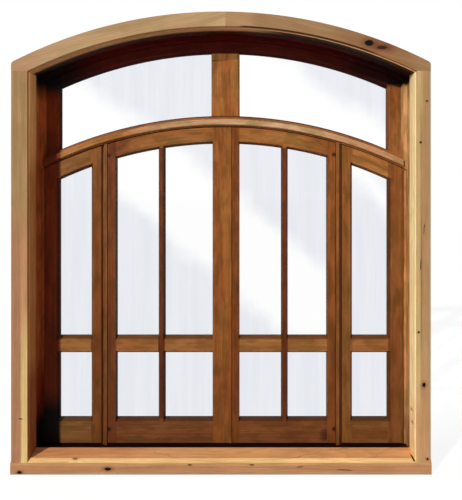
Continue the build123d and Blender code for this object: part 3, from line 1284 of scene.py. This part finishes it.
@dataclass
class StainedFrame:
    """The stained frame behind the casing: sill, jambs, head, transom with its bead, posts."""

    effects: Effects
    back: float = FRONT + 172 * MM
    outside_left: float = -702 * MM
    outside_right: float = 710 * MM
    outside_head: Arch = Arch(14 * MM, 1595 * MM)
    jamb_depth: float = 120 * MM
    bead_depth: float = 110 * MM
    groove: float = FRONT + 127 * MM

    def boards(self) -> tuple[Board, ...]:
        """Choose the colours of the members.

        Returns:
            Every member as a board, from the sill to the posts.
        """
        v = VIEW
        jamb = self.jamb_depth
        bead = self.bead_depth
        plain_back = Zone(PLAIN_STAIN, y=beyond(self.back, 0.002))
        left_end = Zone(PLAIN_STAIN, x=up_to(self.outside_left, 0.003))
        right_end = Zone(PLAIN_STAIN, x=beyond(self.outside_right, 0.003))
        # Painted shade on the left jamb, which lies in shadow: darker towards the sill, near black in the
        # bottom corner and at the top.
        left_zones = (
            Zone(srgb(130, 40, 18), 0.9, z=up_to(v.row(360, jamb), 0.1)),
            Zone(DEEP_SHADE, z=up_to(v.row(411, jamb), 0.05)),
            Zone(DEEP_SHADE, z=beyond(v.row(92, jamb), 0.04)),
            left_end,
            plain_back,
        )
        right_zones = (
            Zone(srgb(204, 156, 104), 0.9, z=(v.row(350, jamb), v.row(230, jamb), 0.12)),
            Zone(srgb(168, 120, 84), 0.9, z=up_to(v.row(415, jamb), 0.04)),
            # painted shadow of the head across the top of the right jamb
            Zone(HEAD_SHADOW, z=beyond(v.row(85, jamb), 0.012)),
            right_end,
            plain_back,
        )
        # Painted shade: the ends of the head are near black.
        head_zones = (
            Zone(srgb(24, 6, 4), x=up_to(-0.52, 0.1)),
            Zone(srgb(34, 6, 4), x=beyond(0.5, 0.12)),
            Zone(PLAIN_STAIN, z=beyond(0.0, 0.003), arch=self.outside_head),
            plain_back,
        )
        # Painted shadow on the left end of the transom and of its bead.
        shadowed_end = Zone(srgb(118, 48, 20), x=up_to(v.column(60.5, bead), 0.006))
        bead_zones = (Zone(srgb(175, 120, 64), 0.85, x=up_to(v.column(140, bead), 0.12)), shadowed_end)
        groove = (Zone(srgb(122, 70, 34), y=beyond(self.groove, 0.002)),)
        ends = (left_end, right_end, plain_back)
        return (
            # painted shade: the frame sill is near black, as in the shade under the sashes; its ends and back
            # keep the plain stain
            Board("frame_sill", srgb(26, 12, 7), Run.LEVEL, 11.0, zones=ends),
            Board("frame_jamb_left", srgb(192, 102, 54), Run.UPRIGHT, 12.0, zones=left_zones),
            Board("frame_jamb_right", srgb(198, 152, 110), Run.UPRIGHT, 13.0, zones=right_zones),
            # painted shade: the head is near black, as in the shadow of the casing head
            Board("frame_head", srgb(84, 8, 2), Run.BENT, 14.0, HEAD_ARCH, head_zones),
            Board("transom", srgb(160, 104, 62), Run.BENT, 15.0, TRANSOM_ARCH, (shadowed_end,)),
            Board("transom_bead", srgb(194, 160, 130), Run.BENT, 16.0, TRANSOM_ARCH, bead_zones),
            Board("mullion_post_left", srgb(130, 82, 45), Run.UPRIGHT, 17.0, zones=groove),
            Board("mullion_post_right", srgb(142, 90, 48), Run.UPRIGHT, 18.0, zones=groove),
        )

    def dress(self) -> None:
        """Give each member its stain."""
        for board in self.boards():
            finish = STAINED_POST if board.node.startswith("mullion_post") else STAINED_FRAME
            dress(board.node, finish.material(self.effects, board))
            log.info("frame: %s", board.node)


@dataclass(frozen=True)
class Opening:
    """One opening of a sash at the glass: its sides, its ends and the arcs that bound it."""

    left: float
    right: float
    low: float
    high: float
    under: Arch | None = None
    over: Arch | None = None

    def outline(self, steps: int = 24) -> list[Pair]:
        """Corners in X and Z, round the opening.

        Args:
            steps: pieces that an arc is divided into.

        Returns:
            The corners, counter-clockwise seen from the front.
        """
        sides = (self.left, self.right)
        stops = [self.left + (self.right - self.left) * step / steps for step in range(steps + 1)]
        low = [(x, self.over.height(x)) for x in stops] if self.over else [(x, self.low) for x in sides]
        if self.under:
            return low + [(x, self.under.height(x)) for x in reversed(stops)]
        return low + [(x, self.high) for x in reversed(sides)]


@dataclass
class GlazingSeal:
    """The dark sealing line between glass and wood, all the way round each opening of a sash."""

    name: str
    openings: tuple[Opening, ...]
    glass_front: float
    material: bpy.types.Material
    width: float = 2.4 * MM
    thickness: float = 1.6 * MM

    def build(self) -> bpy.types.Object:
        """Make the seal as a thin ring in front of the glass.

        Returns:
            The seal.
        """
        bm = bmesh.new()
        for opening in self.openings:
            corners = [bm.verts.new((x, self.glass_front, z)) for x, z in opening.outline()]
            inside = bm.faces.new(corners)
            ring = bmesh.ops.inset_region(
                bm, faces=[inside], thickness=self.width, use_even_offset=True, use_boundary=True
            )
            bmesh.ops.delete(bm, geom=[inside], context="FACES_ONLY")
            raised = bmesh.ops.extrude_face_region(bm, geom=ring["faces"])
            moved = [item for item in raised["geom"] if isinstance(item, bmesh.types.BMVert)]
            bmesh.ops.translate(bm, verts=moved, vec=(0.0, -self.thickness, 0.0))
        log.info("seal: %s", self.name)
        return add_piece(bm, self.name, self.material)


@dataclass
class Pin:
    """A small metal pin let into a hanging stile."""

    name: str
    x: float
    z: float
    material: bpy.types.Material
    radius: float = 2.3 * MM
    length: float = 7.0 * MM
    sunk: float = 0.4 * MM
    edge: float = 0.5 * MM
    sides: int = 20

    def build(self) -> bpy.types.Object:
        """Make the pin with its front edge rounded.

        Returns:
            The pin.
        """
        bm = bmesh.new()
        rod = {"radius1": self.radius, "radius2": self.radius, "depth": self.length}
        bmesh.ops.create_cone(bm, cap_ends=True, segments=self.sides, **rod)
        rim = [item for item in bm.edges if all(vert.co.z > 0 for vert in item.verts)]
        bmesh.ops.bevel(bm, geom=rim, offset=self.edge, segments=2, profile=0.5, affect="EDGES", material=-1)
        middle = FRONT + SASH_DEPTH + self.sunk + self.length / 2
        for vert in bm.verts:
            vert.co = Vector((vert.co.x + self.x, middle - vert.co.z, vert.co.y + self.z))
        log.info("pin: %s", self.name)
        return add_piece(bm, self.name, self.material)


@dataclass(frozen=True)
class SashLook:
    """Colours of one glazed unit's members in full light, by the end of the member's name."""

    colours: dict[str, Colour]
    seed: float
    sheens: dict[str, tuple[Sheen, ...]] = field(default_factory=dict)
    zones: dict[str, tuple[Zone, ...]] = field(default_factory=dict)
    knots: dict[str, tuple[KnotMark, ...]] = field(default_factory=dict)


@dataclass
class Sash:
    """One glazed unit: its members in stained wood, its panes in glass, seals round them."""

    effects: Effects
    prefix: str
    arch: Arch
    finish: WoodFinish
    look: SashLook
    openings: tuple[Opening, ...]
    glass_front: float
    seal: bpy.types.Material
    back_depth: float = 6 * MM
    bar_depth: float = 11 * MM
    seed_step: float = 0.77

    def run_of(self, member: str) -> Run:
        """Tell which way the fibres of a member run.

        Args:
            member: the end of the member's name.

        Returns:
            The run of its fibres.
        """
        if any(word in member for word in ("stile", "muntin", "mullion")):
            return Run.UPRIGHT
        bent = "top_rail" in member or self.prefix + member == "fanlight_bottom_rail"
        return Run.BENT if bent else Run.LEVEL

    def dress(self) -> None:
        """Dress every node of this unit and add the seals."""
        members = sorted(node for node in NODES if node.startswith(self.prefix))
        for number, node in enumerate(members):
            member = node[len(self.prefix) :]
            if member.startswith("glass"):
                dress(node, GlassFinish().material(self.effects, node, self.look.sheens.get(member, ())))
                NODES[node].visible_shadow = False
                continue
            run = self.run_of(member)
            depth = self.bar_depth if member.startswith(("beads", "back_bars")) else self.back_depth
            zones = self.look.zones.get(member, ())
            zones += (Zone(PLAIN_STAIN, y=beyond(self.glass_front + depth, 0.003)),)
            board = Board(
                node,
                self.look.colours.get(member, self.look.colours["other"]),
                run,
                self.look.seed + self.seed_step * number,
                self.arch if run is Run.BENT else None,
                zones,
                self.look.knots.get(member, ()),
            )
            dress(node, self.finish.material(self.effects, board))
        log.info("sash: %s, %d nodes", self.prefix, len(members))
        GlazingSeal(f"{self.prefix}seal", self.openings, self.glass_front, self.seal).build()


@dataclass
class Glazing:
    """The five glazed units, with the sizes that their openings and pins are set out from."""

    effects: Effects
    bottom_rail_top: float = 155 * MM
    cross_bar_low: float = 402 * MM
    cross_bar_high: float = 466 * MM
    sash_arch: Arch = Arch(-289 * MM, 1482 * MM)
    fan_top: Arch = Arch(14 * MM, 1525 * MM)
    fan_bottom: Arch = Arch(-289 * MM, 1590 * MM)
    sash_glass: float = FRONT + SASH_DEPTH + 20 * MM
    fan_glass: float = FRONT + FAN_DEPTH + 12 * MM
    pin_low: float = 116 * MM
    pin_rise: float = 17 * MM
    pin_mark: float = 6 * MM
    pin_mark_darkness: float = 0.95
    side_left_span: Pair = (-620 * MM, -500 * MM)
    side_right_span: Pair = (486 * MM, 620 * MM)
    leaf_left_spans: tuple[Pair, Pair] = ((-404 * MM, -246 * MM), (-221 * MM, -42 * MM))
    leaf_right_spans: tuple[Pair, Pair] = ((60 * MM, 217.8 * MM), (242.8 * MM, 390 * MM))
    fan_spans: tuple[Pair, Pair] = ((-623 * MM, -48 * MM), (60 * MM, 623 * MM))
    pin_left: float = -431 * MM
    pin_right: float = 417 * MM

    def pair(self, left: float, right: float) -> tuple[Opening, Opening]:
        """Set out the openings below and above the cross bar.

        Args:
            left: where they begin, from the middle of the frame.
            right: where they end.

        Returns:
            The lower and the upper opening.
        """
        x0, x1 = left + OPENING_CENTRE, right + OPENING_CENTRE
        return (
            Opening(x0, x1, self.bottom_rail_top, self.cross_bar_low),
            Opening(x0, x1, self.cross_bar_high, 0.0, under=self.sash_arch),
        )

    def fan_opening(self, left: float, right: float) -> Opening:
        """One opening of the fanlight."""
        return Opening(left + OPENING_CENTRE, right + OPENING_CENTRE, 0.0, 0.0, self.fan_top, self.fan_bottom)

    def pin_places(self, across: float) -> tuple[Pair, Pair]:
        """Where the two pins of a casement are, in X and Z."""
        x = across + OPENING_CENTRE
        return ((x, self.pin_low), (x, self.sash_arch.height(x) + self.pin_rise))

    def pin_marks(self, places: tuple[Pair, ...]) -> dict[str, tuple[KnotMark, ...]]:
        """The dark marks round the pins of a hanging stile."""
        size = (self.pin_mark, self.pin_mark, self.pin_mark_darkness)
        return {"hanging_stile": tuple(KnotMark(place, *size) for place in places)}

    def fan_look(self) -> SashLook:
        """Choose the colours of the fanlight.

        Returns:
            The look of the fanlight.
        """
        v = VIEW
        back = FAN_DEPTH
        return SashLook(
            {
                "other": srgb(160, 104, 54),
                "stile_left": srgb(140, 58, 24),
                "stile_right": srgb(146, 91, 47),
                # painted shade: the top rail lies in the head's shadow
                "top_rail": srgb(96, 26, 9),
                "bottom_rail": srgb(110, 66, 44),
                "beads_left": srgb(70, 36, 20),
                "beads_right": srgb(70, 36, 20),
            },
            20.0,
            sheens={
                "glass_left": (Sheen(v.spot(column=112, row=101, depth=back), 40.0, 0.8),),
                "glass_right": (Sheen(v.spot(column=340, row=95, depth=back), 34.0, 0.8, 0.05),),
            },
            zones={
                # painted shade at the top of the left stile
                "stile_left": (Zone(DEEP_SHADE, z=beyond(v.row(93, back), 0.03)),),
                # painted light: the top of the mullion is painted pale, as if lit, where the head's shadow
                # falls on it
                "mullion": (Zone(srgb(226, 166, 96), z=beyond(v.row(60, back), 0.004)),),
                # painted shade: the top rail's ends are near black
                "top_rail": (
                    Zone(srgb(40, 8, 4), x=up_to(v.column(90, back), 0.08)),
                    Zone(srgb(52, 10, 5), x=beyond(v.column(345, back), 0.08)),
                ),
                "stile_right": (
                    Zone(srgb(162, 108, 64), 0.6, z=up_to(v.row(112, back), 0.05)),
                    # painted shadow of the head across the top of the right stile
                    Zone(HEAD_SHADOW, z=beyond(v.row(86, back), 0.01)),
                ),
            },
        )

    def side_looks(self) -> tuple[SashLook, SashLook]:
        """Choose the colours of the side lights.

        Returns:
            The looks of the left and the right light.
        """
        left = {
            "other": BAR_STAIN,
            "outer_stile": srgb(126, 49, 16),
            "inner_stile": srgb(133, 82, 38),
            "cross_bar": srgb(166, 114, 66),
            "bottom_rail": srgb(136, 96, 56),
            "top_rail": srgb(134, 88, 46),
        }
        right = {
            "other": BAR_STAIN,
            "outer_stile": srgb(136, 86, 46),
            "inner_stile": srgb(140, 92, 48),
            "cross_bar": srgb(160, 108, 62),
            "bottom_rail": srgb(140, 94, 52),
            "top_rail": srgb(162, 108, 62),
        }
        # Painted shade: the foot of the left light's outer stile is near black, in the shadow of the corner.
        shaded_foot = {"outer_stile": (Zone(DEEP_SHADE, z=up_to(VIEW.row(400, SASH_DEPTH), 0.05)),)}
        shine = {"glass": (Sheen(VIEW.spot(column=372, row=172, depth=SASH_DEPTH), 50.0, 0.06, 0.04),)}
        return (SashLook(left, 40.0, zones=shaded_foot), SashLook(right, 60.0, shine))

    def casement_looks(self, left_pins: dict, right_pins: dict) -> tuple[SashLook, SashLook]:
        """Colours of the casements.

        Args:
            left_pins: dark marks round the pins of the left leaf.
            right_pins: dark marks round the pins of the right leaf.

        Returns:
            The looks of the left and the right leaf.
        """
        v = VIEW
        both = {"other": BAR_STAIN, "muntin": srgb(107, 54, 22), "cross_bar": srgb(168, 117, 70)}
        left = both | {
            "hanging_stile": srgb(117, 64, 30),
            "meeting_stile": srgb(151, 95, 47),
            "bottom_rail": srgb(132, 83, 48),
            "top_rail": srgb(151, 99, 52),
        }
        right = both | {
            "hanging_stile": srgb(138, 80, 38),
            "meeting_stile": srgb(130, 74, 30),
            "bottom_rail": srgb(136, 86, 50),
            "top_rail": srgb(160, 108, 60),
        }
        left_top = (
            Zone(srgb(126, 72, 38), 0.9, x=up_to(v.column(128, SASH_DEPTH), 0.03), ragged=0.03),
            Zone(srgb(186, 124, 68), 0.9, x=beyond(v.column(238, SASH_DEPTH), 0.04)),
        )
        knotty = Zone(
            srgb(82, 42, 26),
            0.8,
            x=(v.column(322, SASH_DEPTH), v.column(338, SASH_DEPTH), 0.012),
            z=(v.row(441, SASH_DEPTH), v.row(428, SASH_DEPTH), 0.008),
            ragged=0.03,
        )
        foot = v.row(343, SASH_DEPTH)
        sky = {"glass": (Sheen(v.spot(column=242, row=200, depth=SASH_DEPTH), 40.0, 0.29, 0.045, foot),)}
        right_top = (Zone(srgb(136, 82, 36), 0.85, x=beyond(v.column(308, SASH_DEPTH), 0.05), ragged=0.03),)
        return (
            SashLook(left, 80.0, sky, {"top_rail": left_top}, left_pins),
            SashLook(right, 100.0, sky, {"top_rail": right_top, "bottom_rail": (knotty,)}, right_pins),
        )

    def build(self) -> None:
        """Dress all units and add seals and pins."""
        seal = PlainFinish("glazing seal", srgb(46, 26, 16), srgb(74, 44, 28), 0.7).material()
        steel = PlainFinish("pin steel", srgb(34, 20, 14), srgb(70, 38, 24), 0.55, 0.4, 900.0).material()
        left_pins, right_pins = self.pin_places(self.pin_left), self.pin_places(self.pin_right)
        side_left, side_right = self.side_looks()
        leaf_left, leaf_right = self.casement_looks(self.pin_marks(left_pins), self.pin_marks(right_pins))
        first_left, second_left = self.leaf_left_spans
        first_right, second_right = self.leaf_right_spans
        openings = {
            "side_left_": self.pair(*self.side_left_span),
            "side_right_": self.pair(*self.side_right_span),
            "casement_left_": self.pair(*first_left) + self.pair(*second_left),
            "casement_right_": self.pair(*first_right) + self.pair(*second_right),
        }
        looks = (side_left, side_right, leaf_left, leaf_right)
        for (prefix, panes), look in zip(openings.items(), looks):
            sash = (TRANSOM_ARCH, STAINED_SASH, look, panes, self.sash_glass, seal)
            Sash(self.effects, prefix, *sash).dress()
        fan_panes = tuple(self.fan_opening(*span) for span in self.fan_spans)
        fan = (HEAD_ARCH, STAINED_FAN, self.fan_look(), fan_panes, self.fan_glass, seal)
        Sash(self.effects, "fanlight_", *fan).dress()
        for side, places in (("left", left_pins), ("right", right_pins)):
            for level, (x, z) in zip(("low", "high"), places):
                Pin(f"casement_{side}_pin_{level}", x, z, steel).build()


@dataclass
class Studio:
    """The floor, the light and the camera."""

    key_direction: tuple[float, float, float] = (0.0836, 0.128, -0.0674)
    key_colour: Colour = (1.0, 0.975, 0.94)
    key_strength: float = 3.0
    key_angle: float = 1.5
    sky_colour: Colour = (0.95, 0.97, 1.0)
    sky_strength: float = 0.28
    floor_grey: float = 0.8
    floor_size: float = 60.0
    floor_share: float = 0.75
    floor_glow: float = 1.17

    def build(self) -> None:
        """Make everything that is not part of the window."""
        self.make_world()
        self.make_floor()
        self.make_key()
        self.make_camera()
        bpy.context.scene.view_settings.view_transform = "Standard"

    def make_world(self) -> None:
        """A plain pale sky that is white where the camera or the glass sees it."""
        world = bpy.data.worlds.new("studio")
        bpy.context.scene.world = world
        graph = cleared(world)
        sky = graph.node("ShaderNodeBackground", {"Color": self.sky_colour, "Strength": self.sky_strength})
        white = graph.node("ShaderNodeBackground", {"Color": (1.0, 1.0, 1.0), "Strength": 1.0})
        path = graph.node("ShaderNodeLightPath").outputs
        seen = graph.math("MAXIMUM", path["Is Camera Ray"], path["Is Transmission Ray"])
        seen = graph.math("MAXIMUM", seen, path["Is Glossy Ray"])
        both = graph.node("ShaderNodeMixShader", {0: seen, 1: sky.outputs[0], 2: white.outputs[0]})
        graph.node("ShaderNodeOutputWorld", {"Surface": both.outputs[0]})

    def make_floor(self) -> None:
        """A wide pale floor that shows white and keeps a soft shadow of the window."""
        bm = bmesh.new()
        bmesh.ops.create_grid(bm, x_segments=1, y_segments=1, size=self.floor_size)
        mesh = bpy.data.meshes.new("floor")
        bm.to_mesh(mesh)
        bm.free()
        floor = bpy.data.objects.new("floor", mesh)
        show(floor)
        material = bpy.data.materials.new("studio floor")
        graph = cleared(material)
        matt = graph.node("ShaderNodeBsdfDiffuse", {"Color": (self.floor_grey,) * 3})
        path = graph.node("ShaderNodeLightPath").outputs
        behind_glass = path["Is Transmission Ray"]
        strength = graph.mix(behind_glass, (self.floor_glow,) * 3, (1.0, 1.0, 1.0))
        glow = graph.node("ShaderNodeEmission", {"Color": strength, "Strength": 1.0})
        share = graph.times(path["Is Camera Ray"], self.floor_share)
        share = graph.math("MAXIMUM", share, behind_glass)
        both = graph.node("ShaderNodeMixShader", {0: share, 1: matt.outputs[0], 2: glow.outputs[0]})
        graph.node("ShaderNodeOutputMaterial", {"Surface": both.outputs[0]})
        mesh.materials.append(material)

    def make_key(self) -> None:
        """The main lamp, high on the left in front of the window."""
        lamp = bpy.data.lights.new("key", "SUN")
        lamp.energy = self.key_strength
        lamp.angle = math.radians(self.key_angle)
        lamp.color = self.key_colour
        thing = bpy.data.objects.new("key", lamp)
        thing.rotation_euler = Vector(self.key_direction).to_track_quat("-Z", "Y").to_euler()
        show(thing)

    def make_camera(self) -> None:
        """A level camera a little right of the middle, at the height of the casements."""
        lens = bpy.data.cameras.new("camera")
        lens.lens = VIEW.lens
        lens.sensor_width = VIEW.sensor
        lens.shift_x = VIEW.shift_x
        lens.shift_y = VIEW.shift_y
        camera = bpy.data.objects.new("camera", lens)
        camera.location = VIEW.place
        camera.rotation_euler = (math.radians(90), 0.0, 0.0)
        show(camera)
        bpy.context.scene.camera = camera


def main() -> None:
    """Dress the window, then light it and place the camera."""
    effects = Effects()
    Casing(effects).dress()
    StainedFrame(effects).dress()
    Glazing(effects).build()
    Studio().build()


if __name__ == "__main__":
    logging.basicConfig(level=logging.INFO, format="%(message)s")
    main()
